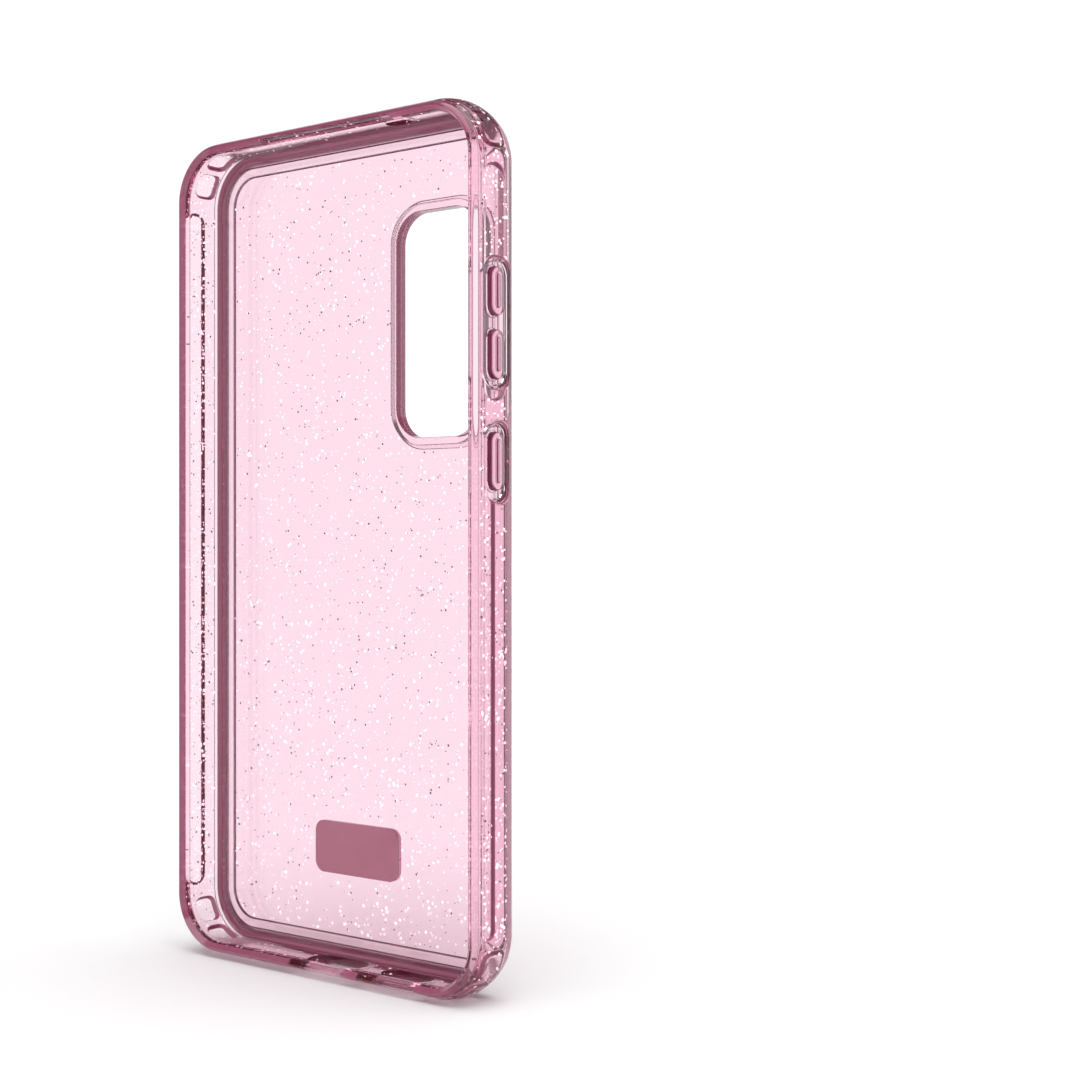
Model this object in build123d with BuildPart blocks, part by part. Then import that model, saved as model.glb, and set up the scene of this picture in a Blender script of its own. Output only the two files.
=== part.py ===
from build123d import *
import os

# Translucent bumper case for a phone of about 158 x 76 x 8 mm, standing on its bottom edge.
# +X is the button side, the screen side faces -Y, +Z runs from the bottom edge to the top edge.
# A place in the wall is given by its inset, inwards from the outermost surface, and by its
# depth, backwards from the front lip.

# Whole case
case_width = 81.0
case_height = 163.0
case_depth = 12.6  # front lip to back plate
badge_proud = 0.9
corner_radius = 12.0
front_y = -(case_depth + badge_proud) / 2

# Wall section
wall = 2.3
lip_thickness = 2.0
lip_inset = 3.0
lip_flat_inset = 2.7
crown_depth = 6.0
crown_front = (1.2, 1.2)  # inset, depth
crown_back = (1.3, 11.05)
lip_round_middle = (1.85, 0.42)
heel_round_middle = (2.0, 11.95)
heel_flat_inset = 3.2
cavity_back = 10.6
cavity_fillet = 0.8

# Back plate, seated in a stepped window of the bumper
plate_thickness = case_depth - cavity_back
plate_step = plate_thickness / 2
plate_inset_inner = 4.4
plate_inset_outer = 6.0
seat_gap = 0.05
overcut = 1.0  # how far cutting shapes run past an outer surface

# Grip channels along the two sides
channel_inset = 0.8
left_channels = (((12.4, 150.0), (2.6, 8.7)),)  # lowest and highest z, front and back depth
right_channels = (((12.4, 89.0), (2.6, 5.7)), ((107.7, 150.0), (2.6, 8.7)))

# Air pockets in the corners, open towards the phone
pocket_inset = 1.5
pocket_front = 3.8
pocket_back = 9.0
pocket_reach = 9.7
pocket_rib = 1.2

# Ports: centre x, length along the wall, height across it
port_depth = 6.45
charging_port = (0.0, 14.0, 6.5)
speaker_port = (18.0, 12.0, 4.6)
microphone_port = (16.0, 6.0, 2.6)

# Relief in the front lip over the earpiece
relief_ends = (-15.0, 19.0)
relief_slope = 1.4
relief_inset = 2.35

# Side keys
key_depth = 6.2
key_width = 3.7
key_gap = 0.15
key_top_inset = 0.35
key_ridge_inset = 0.05
key_ridge_width = 1.1
key_ridge_margin = 1.3
key_chamfer = 0.3
key_flange_inset = (1.95, 2.25)
key_flange_margin = 0.4
web_inset = (1.1, 1.8)
volume_window = (110.1, 133.3)
volume_window_width = 6.7
power_window = (89.8, 103.9)
power_window_width = 5.6
key_spans = {
    "volume_up_button": (123.0, 131.7),
    "volume_down_button": (111.7, 120.5),
    "power_button": (91.9, 102.3),
}

# Camera guard
guard_size = (24.5, 46.8)
guard_centre = (21.5, 123.5)
guard_radius = 8.0
guard_ring = 2.2
guard_spigot_margin = 0.8
guard_proud = 0.7
guard_edge = 0.25

# Badge
badge_size = (22.0, 10.1)
badge_centre_z = 22.95
badge_radius = 2.2
badge_pocket = 0.3
badge_edge = 0.25

os.makedirs("parts", exist_ok=True)


def section_point(inset, depth):
    """Point of the wall section, drawn on the +X side."""
    return (case_width / 2 - inset, front_y + depth)


def facing_front(depth):
    """Plane parallel to the screen, whose normal points to the front."""
    return Plane.XZ.offset(-(front_y + depth))


def side_plane(inset):
    """Plane parallel to the button side, whose normal points outwards."""
    return Plane.YZ.offset(case_width / 2 - inset)


def slot_on_side(span, width, depth=key_depth, mode=Mode.ADD):
    """Upright slot sketch between two heights, on a plane parallel to the side."""
    with Locations((front_y + depth, sum(span) / 2)):
        SlotOverall(span[1] - span[0], width, rotation=90, mode=mode)


# Bumper frame: one moulded ring of wall, front lip and back flange
with BuildPart() as bumper_frame:
    with BuildSketch(Plane.XY.offset(case_height / 2)):
        with BuildLine():
            ThreePointArc(
                section_point(lip_flat_inset, 0),
                section_point(*lip_round_middle),
                section_point(*crown_front),
            )
            ThreePointArc(
                section_point(*crown_front),
                section_point(0, crown_depth),
                section_point(*crown_back),
            )
            ThreePointArc(
                section_point(*crown_back),
                section_point(*heel_round_middle),
                section_point(heel_flat_inset, case_depth),
            )
            Polyline(
                section_point(heel_flat_inset, case_depth),
                section_point(plate_inset_outer, case_depth),
                section_point(plate_inset_outer, case_depth - plate_step),
                section_point(plate_inset_inner, case_depth - plate_step),
                section_point(plate_inset_inner, cavity_back),
                section_point(wall + cavity_fillet, cavity_back),
            )
            RadiusArc(
                section_point(wall + cavity_fillet, cavity_back),
                section_point(wall, cavity_back - cavity_fillet),
                -cavity_fillet,
            )
            Polyline(
                section_point(wall, cavity_back - cavity_fillet),
                section_point(wall, lip_thickness + lip_inset - wall),
                section_point(lip_inset, lip_thickness),
                section_point(lip_inset, lip_inset - lip_flat_inset),
                section_point(lip_flat_inset, 0),
            )
        make_face()
    with BuildLine(Plane.XZ) as outline:
        upper_half = FilletPolyline(
            (case_width / 2, case_height / 2),
            (case_width / 2, case_height),
            (-case_width / 2, case_height),
            (-case_width / 2, case_height / 2),
            radius=corner_radius,
        )
        mirror(upper_half, about=Plane.XY.offset(case_height / 2))
    sweep(path=outline.wires()[0])

    # Grip channels
    with BuildSketch(side_plane(channel_inset)):
        for span, depths in right_channels:
            slot_on_side(span, depths[1] - depths[0], sum(depths) / 2)
    extrude(amount=channel_inset + overcut, mode=Mode.SUBTRACT)
    with BuildSketch(Plane.YZ.offset(channel_inset - case_width / 2)):
        for span, depths in left_channels:
            slot_on_side(span, depths[1] - depths[0], sum(depths) / 2)
    extrude(amount=-channel_inset - overcut, mode=Mode.SUBTRACT)

    # Windows of the volume keys and of the power key
    with BuildSketch(side_plane(lip_inset)):
        slot_on_side(volume_window, volume_window_width)
        slot_on_side(power_window, power_window_width)
    extrude(amount=lip_inset + overcut, mode=Mode.SUBTRACT)

    # Corner air pockets, each split by a rib on the diagonal
    with BuildSketch(facing_front(pocket_back)):
        with Locations((0, case_height / 2)):
            RectangleRounded(
                case_width - 2 * pocket_inset,
                case_height - 2 * pocket_inset,
                corner_radius - pocket_inset,
            )
            Rectangle(case_width - 2 * pocket_reach, case_height, mode=Mode.SUBTRACT)
            Rectangle(case_width, case_height - 2 * pocket_reach, mode=Mode.SUBTRACT)
        for side in (-1, 1):
            for end in (-1, 1):
                with Locations((side * case_width / 2, case_height / 2 + end * case_height / 2)):
                    Rectangle(pocket_rib, 4 * pocket_reach, rotation=-45 * side * end, mode=Mode.SUBTRACT)
    extrude(amount=pocket_back - pocket_front, mode=Mode.SUBTRACT)

    # Ports through the bottom and top walls
    with BuildSketch(Plane.XY.offset(-overcut)):
        for centre, length, height in (charging_port, speaker_port):
            with Locations((centre, front_y + port_depth)):
                SlotOverall(length, height)
    extrude(amount=overcut + wall + cavity_fillet, mode=Mode.SUBTRACT)
    with BuildSketch(Plane.XY.offset(case_height + overcut)):
        with Locations((microphone_port[0], front_y + port_depth)):
            SlotOverall(microphone_port[1], microphone_port[2])
    extrude(amount=-overcut - wall - cavity_fillet, mode=Mode.SUBTRACT)

    # Earpiece relief in the top lip
    with BuildSketch(facing_front(lip_thickness)):
        with BuildLine():
            Polyline(
                (relief_ends[0], case_height - relief_inset),
                (relief_ends[1], case_height - relief_inset),
                (relief_ends[1] + relief_slope, case_height - lip_inset - relief_slope),
                (relief_ends[0] - relief_slope, case_height - lip_inset - relief_slope),
                close=True,
            )
        make_face()
    extrude(amount=lip_thickness + overcut, mode=Mode.SUBTRACT)

bumper_frame.part.label = "bumper_frame"
export_step(bumper_frame.part, "parts/bumper_frame.step")


# Back panel: hard plate with a stepped edge, a camera opening and a shallow badge pocket
with BuildPart() as back_panel:
    plate_layers = (
        (plate_inset_inner, case_depth - plate_step),
        (plate_inset_outer, case_depth),
    )
    for inset, layer_back in plate_layers:
        edge = inset + seat_gap
        with BuildSketch(facing_front(layer_back)):
            with Locations((0, case_height / 2)):
                RectangleRounded(case_width - 2 * edge, case_height - 2 * edge, corner_radius - edge)
        extrude(amount=layer_back - cavity_back)
    with BuildSketch(facing_front(case_depth)):
        with Locations(guard_centre):
            RectangleRounded(
                guard_size[0] - 2 * guard_spigot_margin + 2 * seat_gap,
                guard_size[1] - 2 * guard_spigot_margin + 2 * seat_gap,
                guard_radius - guard_spigot_margin + seat_gap,
            )
    extrude(amount=plate_thickness, mode=Mode.SUBTRACT)
    with BuildSketch(facing_front(case_depth)):
        with Locations((0, badge_centre_z)):
            RectangleRounded(
                badge_size[0] + 2 * seat_gap,
                badge_size[1] + 2 * seat_gap,
                badge_radius + seat_gap,
            )
    extrude(amount=badge_pocket, mode=Mode.SUBTRACT)

back_panel.part.label = "back_panel"
export_step(back_panel.part, "parts/back_panel.step")


# Camera guard: a raised collar on the back with a spigot through the plate
with BuildPart() as camera_guard:
    with BuildSketch(facing_front(case_depth + guard_proud)):
        with Locations(guard_centre):
            RectangleRounded(*guard_size, guard_radius)
    extrude(amount=guard_proud)
    collar_rim = camera_guard.faces().sort_by(Axis.Y)[-1].edges()
    fillet(collar_rim, radius=guard_edge)
    with BuildSketch(facing_front(case_depth)):
        with Locations(guard_centre):
            RectangleRounded(
                guard_size[0] - 2 * guard_spigot_margin,
                guard_size[1] - 2 * guard_spigot_margin,
                guard_radius - guard_spigot_margin,
            )
    extrude(amount=plate_thickness)
    with BuildSketch(facing_front(case_depth + guard_proud)):
        with Locations(guard_centre):
            RectangleRounded(
                guard_size[0] - 2 * guard_ring,
                guard_size[1] - 2 * guard_ring,
                guard_radius - guard_ring,
            )
    extrude(amount=plate_thickness + guard_proud, mode=Mode.SUBTRACT)
    window_rim = camera_guard.faces().sort_by(Axis.Y)[-1].inner_wires().edges()
    chamfer(window_rim, length=guard_edge)

camera_guard.part.label = "camera_guard"
export_step(camera_guard.part, "parts/camera_guard.step")


# Key webs: thin flexible floors in the key windows, with a clearance hole round each key
web_layout = {
    "volume_button_web": (
        volume_window,
        volume_window_width,
        ("volume_up_button", "volume_down_button"),
    ),
    "power_button_web": (power_window, power_window_width, ("power_button",)),
}
for web_name, (window, window_width, keys) in web_layout.items():
    with BuildPart() as key_web:
        with BuildSketch(side_plane(web_inset[1])):
            web_span = (window[0] + seat_gap, window[1] - seat_gap)
            slot_on_side(web_span, window_width - 2 * seat_gap)
            for key in keys:
                hole_span = (key_spans[key][0] - key_gap, key_spans[key][1] + key_gap)
                slot_on_side(hole_span, key_width + 2 * key_gap, mode=Mode.SUBTRACT)
        extrude(amount=web_inset[1] - web_inset[0])
    key_web.part.label = web_name
    export_step(key_web.part, f"parts/{web_name}.step")


# Side keys: a chamfered pad with a raised ridge outside and a retaining flange inside
for key_name, span in key_spans.items():
    with BuildPart() as side_key:
        with BuildSketch(side_plane(key_flange_inset[1])):
            slot_on_side(span, key_width)
        extrude(amount=key_flange_inset[1] - key_top_inset)
        pad_rim = side_key.faces().sort_by(Axis.X)[-1].edges()
        chamfer(pad_rim, length=key_chamfer)
        with BuildSketch(side_plane(key_top_inset)):
            ridge_span = (span[0] + key_ridge_margin, span[1] - key_ridge_margin)
            slot_on_side(ridge_span, key_ridge_width)
        extrude(amount=key_top_inset - key_ridge_inset)
        with BuildSketch(side_plane(key_flange_inset[1])):
            flange_span = (span[0] - key_flange_margin, span[1] + key_flange_margin)
            slot_on_side(flange_span, key_width + 2 * key_flange_margin)
        extrude(amount=key_flange_inset[1] - key_flange_inset[0])
    side_key.part.label = key_name
    export_step(side_key.part, f"parts/{key_name}.step")


# Badge: a plain raised plaque set in the back plate
with BuildPart() as badge:
    with BuildSketch(facing_front(case_depth + badge_proud)):
        with Locations((0, badge_centre_z)):
            RectangleRounded(*badge_size, badge_radius)
    extrude(amount=badge_proud + badge_pocket)
    badge_rim = badge.faces().sort_by(Axis.Y)[-1].edges()
    chamfer(badge_rim, length=badge_edge)

badge.part.label = "badge"
export_step(badge.part, "parts/badge.step")
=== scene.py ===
import logging
import math
import random
from dataclasses import dataclass, field
from enum import Enum
from typing import Any, Callable, Optional, Union

import bmesh
import bpy
from bmesh.types import BMEdge, BMesh, BMFace, BMVert
from mathutils import Matrix, Vector


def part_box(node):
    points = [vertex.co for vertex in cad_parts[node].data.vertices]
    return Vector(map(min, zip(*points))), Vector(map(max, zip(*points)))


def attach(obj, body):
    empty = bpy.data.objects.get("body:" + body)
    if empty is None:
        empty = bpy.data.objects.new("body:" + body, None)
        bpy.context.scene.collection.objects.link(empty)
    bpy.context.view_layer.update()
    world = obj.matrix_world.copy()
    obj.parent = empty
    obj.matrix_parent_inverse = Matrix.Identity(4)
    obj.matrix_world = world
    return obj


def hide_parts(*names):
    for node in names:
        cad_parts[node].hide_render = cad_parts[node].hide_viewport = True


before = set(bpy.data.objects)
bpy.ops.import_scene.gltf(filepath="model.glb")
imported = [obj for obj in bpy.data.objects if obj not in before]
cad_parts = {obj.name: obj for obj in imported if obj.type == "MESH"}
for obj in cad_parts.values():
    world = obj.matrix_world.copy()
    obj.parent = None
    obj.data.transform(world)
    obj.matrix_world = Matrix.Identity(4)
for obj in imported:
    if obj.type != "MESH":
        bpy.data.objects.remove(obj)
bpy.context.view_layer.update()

# Looks of a translucent glitter phone case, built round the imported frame.
# Every size below is in millimetres. A place in a wall is given by its inset, inwards from the
# outermost surface, and by its depth, backwards from the front lip. Finished meshes are in metres.

MM = 0.001
SEED = 20260
# face-corner layer of the angle by which shade is painted into the clear plastic
SHADE_ANGLE_LAYER = "rim"
# vertex layer of each flake's shade; on the bright flakes it paints a glint
FLAKE_GLINT_LAYER = "flake_shade"
WALL_BAND = 8.2  # millimetres of the wall's depth that count when glitter is measured out
OUTER_SKIN = 1.6  # inset up to which a surface belongs to the outside of the wall

log = logging.getLogger("phone_case")

Point = tuple[float, float]
Span = tuple[float, float]
Colour = tuple[float, float, float, float]
FlakePlace = tuple[Vector, Vector]
SIDEWAYS = Vector((1.0, 0.0, 0.0))
BACKWARDS = Vector((0.0, 1.0, 0.0))


# ---------------------------------------------------------------- shader maths


class Value:
    """A number socket of a shader, on which Python's own operators add Math nodes."""

    def __init__(self, shader: "Shader", socket: bpy.types.NodeSocket) -> None:
        """Wraps a socket.

        Args:
            shader: The shader that the socket belongs to.
            socket: The output socket that carries the number.
        """
        self.shader = shader
        self.socket = socket

    def _maths(self, operation: str, first: "Operand", second: "Operand") -> "Value":
        """Adds one Math node.

        Args:
            operation: The Math node's operation.
            first: Its first operand.
            second: Its second operand.

        Returns:
            The node's result.
        """
        return self.shader.node("ShaderNodeMath", {"operation": operation}, {0: first, 1: second})

    def __add__(self, other: "Operand") -> "Value":
        """Sum."""
        return self._maths("ADD", self, other)

    def __radd__(self, other: "Operand") -> "Value":
        """Sum with a number on the left."""
        return self._maths("ADD", other, self)

    def __rsub__(self, other: "Operand") -> "Value":
        """Difference from a number on the left."""
        return self._maths("SUBTRACT", other, self)

    def __mul__(self, other: "Operand") -> "Value":
        """Product."""
        return self._maths("MULTIPLY", self, other)

    def __rmul__(self, other: "Operand") -> "Value":
        """Product with a number on the left."""
        return self._maths("MULTIPLY", other, self)

    def between(self, low: float, high: float) -> "Value":
        """Smooth step from 0 at low to 1 at high.

        Args:
            low: Where the step starts.
            high: Where it ends.

        Returns:
            The step's value.
        """
        inputs = {"Value": self, "From Min": low, "From Max": high}
        return self.shader.node("ShaderNodeMapRange", {"interpolation_type": "SMOOTHSTEP"}, inputs)


Operand = Union[Value, float]


class Shader:
    """The node tree of a material or of the world, filled through one method."""

    def __init__(self, tree: bpy.types.NodeTree) -> None:
        """Starts with an empty tree.

        Args:
            tree: The node tree to fill.
        """
        self.tree = tree
        self.tree.nodes.clear()

    def node(
        self,
        kind: str,
        settings: Optional[dict[str, Any]] = None,
        inputs: Optional[dict[Union[int, str], Any]] = None,
        output: Union[int, str] = 0,
    ) -> Value:
        """Adds a node of any type.

        Args:
            kind: The node's type.
            settings: Its properties, set before its sockets.
            inputs: Values, or results of other nodes, for its sockets.
            output: The socket that is handed back.

        Returns:
            The chosen output.
        """
        node = self.tree.nodes.new(kind)
        for name, setting in (settings or {}).items():
            setattr(node, name, setting)
        for name, given in (inputs or {}).items():
            if isinstance(given, Value):
                self.tree.links.new(given.socket, node.inputs[name])
            else:
                node.inputs[name].default_value = given
        return Value(self, node.outputs[output]) if len(node.outputs) else Value(self, None)

    def object_place(self) -> Value:
        """Place on the object, in metres."""
        return self.node("ShaderNodeTexCoord", output="Object")

    def noise(self, place: Value, size: float, detail: float = 3.0) -> Value:
        """Smooth noise.

        Args:
            place: Where it is read.
            size: Size of its patches, in millimetres.
            detail: How many finer layers it has.

        Returns:
            A number from 0 to 1.
        """
        inputs = {"Vector": place, "Scale": 1.0 / (size * MM), "Detail": detail}
        return self.node("ShaderNodeTexNoise", None, inputs, "Fac")

    def bump(self, height: Value, strength: float, distance: float) -> Value:
        """Fine relief of a surface.

        Args:
            height: Its height, from 0 to 1.
            strength: How strongly it shows.
            distance: What a height of 1 stands for, in millimetres.

        Returns:
            The normal that it gives.
        """
        inputs = {"Strength": strength, "Distance": distance * MM, "Height": height}
        return self.node("ShaderNodeBump", None, inputs, "Normal")

    def principled(self, inputs: dict[str, Any]) -> Value:
        """Adds a Principled surface with the given inputs."""
        return self.node("ShaderNodeBsdfPrincipled", None, inputs)

    def finish(self, surface: Value, volume: Optional[Value] = None) -> None:
        """Joins a surface, and a volume if there is one, to the material's output."""
        inputs = {"Surface": surface} if volume is None else {"Surface": surface, "Volume": volume}
        self.node("ShaderNodeOutputMaterial", None, inputs)

    def blend(self, amount: Operand, first: Any, second: Any) -> Value:
        """Mix of two colours.

        Args:
            amount: 0 for the first colour, 1 for the second.
            first: A colour.
            second: A colour.

        Returns:
            The mixed colour.
        """
        node = self.tree.nodes.new("ShaderNodeMix")
        node.data_type = "RGBA"
        for index, given in ((0, amount), (6, first), (7, second)):
            if isinstance(given, Value):
                self.tree.links.new(given.socket, node.inputs[index])
            else:
                node.inputs[index].default_value = given
        return Value(self, node.outputs[2])


def new_material(name: str) -> tuple[bpy.types.Material, Shader]:
    """Makes an empty material.

    Args:
        name: Its name.

    Returns:
        The material, and the shader that fills it.
    """
    material = bpy.data.materials.new(name)
    material.use_nodes = True
    return material, Shader(material.node_tree)


# ---------------------------------------------------------------- finishes


@dataclass(frozen=True)
class ClearPlastic:
    """Glossy see-through plastic, coloured all through, so a longer way through it is deeper pink.

    The rim layer says by how many degrees a surface turns away from its wall, and shade is painted by it. A
    slanted surface gets the slanted tint and much of the band's solid mauve, a steep one the darker steep
    tint and more solid colour, mixed towards the dark line's: painted shade for the dark edges that
    refraction gives.
    """

    name: str
    slanted_shade: Colour
    # painted shade: tints for surfaces that turn away from the wall
    steep_shade: Colour
    tint: Colour = (1.0, 0.965, 0.98, 1.0)
    absorb: Colour = (0.90, 0.42, 0.62, 1.0)
    density: float = 230.0  # per metre
    # painted shade: a solid mauve band and a dark line, and how much of each is mixed in
    shade_band: Colour = (0.39, 0.105, 0.19, 1.0)
    shade_line: Colour = (0.20, 0.028, 0.08, 1.0)
    solid_shade_band: float = 0.78
    solid_shade_line: float = 0.12
    # angles over which the painted shade sets in
    slanted_from: Span = (24.0, 32.0)  # degrees off the wall
    steep_from: Span = (38.0, 54.0)
    roughness: float = 0.02
    ripple: float = 0.02
    bending: float = 1.49  # index of refraction

    def material(self) -> bpy.types.Material:
        """Builds the material.

        Returns:
            A refracting surface over a coloured volume, with shade painted deeper where it turns away from
            the wall.
        """
        material, shader = new_material(self.name)
        place = shader.object_place()
        haze = shader.noise(place, 18.0, 4.0)
        smudge = shader.noise(place, 3.5, 6.0).between(0.45, 0.75)
        cloudy = tuple(channel * 0.97 for channel in self.tint[:3]) + (1.0,)
        # the angle layer sets how much shade is painted
        shade_angle = shader.node("ShaderNodeAttribute", {"attribute_name": SHADE_ANGLE_LAYER}, output="Fac")
        slanted_shade, steep_shade = shade_angle.between(*self.slanted_from), shade_angle.between(*self.steep_from)
        colour = shader.blend(slanted_shade, shader.blend(haze, self.tint, cloudy), self.slanted_shade)
        colour = shader.blend(steep_shade, colour, self.steep_shade)
        clear = {
            "Base Color": colour,
            "Roughness": self.roughness + 0.03 * smudge,
            "IOR": self.bending,
            "Transmission Weight": 1.0,
            "Normal": shader.bump(shader.noise(place, 9.0, 2.0), self.ripple, 0.2),
        }
        # opaque mauve surface, mixed in as painted shade on turned surfaces
        painted_shade_surface = {
            "Base Color": shader.blend(steep_shade, self.shade_band, self.shade_line),
            "Roughness": 0.12 + 0.05 * smudge,
            "IOR": self.bending,
        }
        painted_shade_amount = self.solid_shade_band * slanted_shade + self.solid_shade_line * steep_shade
        both = {0: painted_shade_amount, 1: shader.principled(clear), 2: shader.principled(painted_shade_surface)}
        inside = {"Color": self.absorb, "Density": self.density}
        volume = shader.node("ShaderNodeVolumeAbsorption", None, inside)
        shader.finish(shader.node("ShaderNodeMixShader", None, both), volume)
        return material


@dataclass(frozen=True)
class SolidPlastic:
    """Opaque satin plastic with a faint moulded texture."""

    name: str
    colour: Colour
    edge_highlight: Colour

    def material(self) -> bpy.types.Material:
        """Builds the material.

        Returns:
            A satin surface with a painted highlight, paler along its sharp edges.
        """
        material, shader = new_material(self.name)
        place = shader.object_place()
        grain = shader.noise(place, 0.35, 5.0)
        cloud = shader.noise(place, 6.0, 3.0)
        # painted highlight: convex edges are blended towards the paler colour
        edge = shader.node("ShaderNodeNewGeometry", output="Pointiness").between(0.52, 0.62)
        colour = shader.blend(edge * (0.55 + 0.45 * cloud), self.colour, self.edge_highlight)
        satin = {
            "Base Color": colour,
            "Roughness": 0.3 + 0.12 * grain,
            "Coat Weight": 0.3,
            "Normal": shader.bump(grain, 0.12, 0.05),
        }
        shader.finish(shader.principled(satin))
        return material


@dataclass(frozen=True)
class GlitterFoil:
    """Metal foil of which each flake has its own shade, from bright silver to dark grey; the bright flakes
    are painted glints, white and glowing.
    """

    name: str

    def material(self) -> bpy.types.Material:
        """Builds the material.

        Returns:
            A metal surface shaded by each flake's own number, with a painted glint on the bright flakes.
        """
        material, shader = new_material(self.name)
        glint_level = shader.node("ShaderNodeAttribute", {"attribute_name": FLAKE_GLINT_LAYER}, output="Fac")
        # painted glint: the brighter flakes turn white and less metallic
        glinting = glint_level.between(0.35, 0.65)
        colour = shader.blend(glinting, (0.16, 0.12, 0.14, 1.0), (1.0, 0.97, 0.98, 1.0))
        # painted glint: the bright flakes glow
        painted_glint = shader.blend(glinting, (0.0, 0.0, 0.0, 1.0), (1.0, 0.96, 0.98, 1.0))
        crinkle = shader.noise(shader.object_place(), 0.2, 2.0)
        foil = {
            "Base Color": colour,
            "Metallic": 0.9 - 0.7 * glinting,
            "Roughness": 0.35 + 0.1 * crinkle,
            "Emission Color": painted_glint,
            "Emission Strength": 0.9,
            "Normal": shader.bump(crinkle, 0.3, 0.02),
        }
        shader.finish(shader.principled(foil))
        return material


@dataclass(frozen=True)
class StudioPaper:
    """Matt paper of the studio's floor."""

    name: str
    brightness: float

    def material(self) -> bpy.types.Material:
        """Builds the material.

        Returns:
            A matt surface of nearly even brightness.
        """
        material, shader = new_material(self.name)
        fibre = shader.noise(shader.object_place(), 4.0, 4.0)
        bright = (self.brightness, self.brightness, self.brightness, 1.0)
        dull = tuple(0.985 * channel for channel in bright[:3]) + (1.0,)
        colour = shader.blend(fibre, bright, dull)
        shader.finish(shader.principled({"Base Color": colour, "Roughness": 0.9, "Specular IOR Level": 0.1}))
        return material


# the slanted and steep colours below are painted shade for each clear plastic
FLEXIBLE_PINK = ClearPlastic(
    name="flexible_pink_clear",
    slanted_shade=(0.34, 0.13, 0.20, 1.0),
    steep_shade=(0.035, 0.005, 0.013, 1.0),
)
HARD_PINK = ClearPlastic(
    name="hard_pink_clear",
    tint=(1.0, 0.97, 0.985, 1.0),
    slanted_shade=(0.55, 0.30, 0.40, 1.0),
    steep_shade=(0.34, 0.13, 0.21, 1.0),
    density=260.0,
    roughness=0.01,
    ripple=0.01,
)
KEY_PINK = ClearPlastic(
    name="key_pink_clear",
    slanted_shade=(0.55, 0.28, 0.37, 1.0),
    steep_shade=(0.46, 0.20, 0.29, 1.0),
)
BADGE_PINK = SolidPlastic("badge_pink", colour=(0.60, 0.17, 0.30, 1.0), edge_highlight=(0.86, 0.48, 0.60, 1.0))
FOIL = GlitterFoil(name="glitter_foil")
PAPER = StudioPaper(name="studio_paper", brightness=0.93)


# ---------------------------------------------------------------- outlines


def arc_through(start: Point, middle: Point, end: Point, steps: int) -> list[Point]:
    """Points of the circular arc from start to end that passes through middle.

    Args:
        start: First point.
        middle: A point on the way.
        end: Last point.
        steps: Number of equal pieces.

    Returns:
        Points along the arc, both ends included.
    """
    a, b, c = Vector(start), Vector(middle), Vector(end)
    turn = 2 * (a.x * (b.y - c.y) + b.x * (c.y - a.y) + c.x * (a.y - b.y))
    aa, bb, cc = a.length_squared, b.length_squared, c.length_squared
    centre = Vector(
        (
            (aa * (b.y - c.y) + bb * (c.y - a.y) + cc * (a.y - b.y)) / turn,
            (aa * (c.x - b.x) + bb * (a.x - c.x) + cc * (b.x - a.x)) / turn,
        )
    )
    radius = (a - centre).length
    first = math.atan2(a.y - centre.y, a.x - centre.x)
    sweep = math.remainder(math.atan2(c.y - centre.y, c.x - centre.x) - first, math.tau)
    halfway = math.remainder(math.atan2(b.y - centre.y, b.x - centre.x) - first, math.tau)
    if sweep * halfway < 0:
        sweep -= math.copysign(math.tau, sweep)
    angles = [first + sweep * step / steps for step in range(steps + 1)]
    return [(centre.x + radius * math.cos(t), centre.y + radius * math.sin(t)) for t in angles]


def rounded_corner(before: Point, corner: Point, after: Point, radius: float, steps: int = 3) -> list[Point]:
    """Points of the fillet that replaces a corner of an outline.

    Args:
        before: The point before the corner.
        corner: The corner.
        after: The point after it.
        radius: Distance along each side that the fillet takes.
        steps: Number of pieces.

    Returns:
        Points of a quadratic curve from one side to the other.
    """
    tip = Vector(corner)
    into = tip + (Vector(before) - tip).normalized() * radius
    out = tip + (Vector(after) - tip).normalized() * radius
    curve = []
    for step in range(steps + 1):
        t = step / steps
        spot = into * (1 - t) ** 2 + tip * (2 * t * (1 - t)) + out * t**2
        curve.append((spot.x, spot.y))
    return curve


def divided(start: Point, end: Point, spacing: float) -> list[Point]:
    """Evenly spaced points strictly between two points.

    Args:
        start: First end.
        end: Last end.
        spacing: Largest gap.

    Returns:
        The points, without the ends.
    """
    a, b = Vector(start), Vector(end)
    count = max(1, math.ceil((b - a).length / spacing))
    return [tuple(a.lerp(b, step / count)) for step in range(1, count)]


def smooth(amount: float) -> float:
    """Smooth step of a number, held between 0 and 1.

    Args:
        amount: Any number.

    Returns:
        0 up to 0, 1 from 1, and a smooth rise between.
    """
    t = min(1.0, max(0.0, amount))
    return t * t * (3 - 2 * t)


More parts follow.
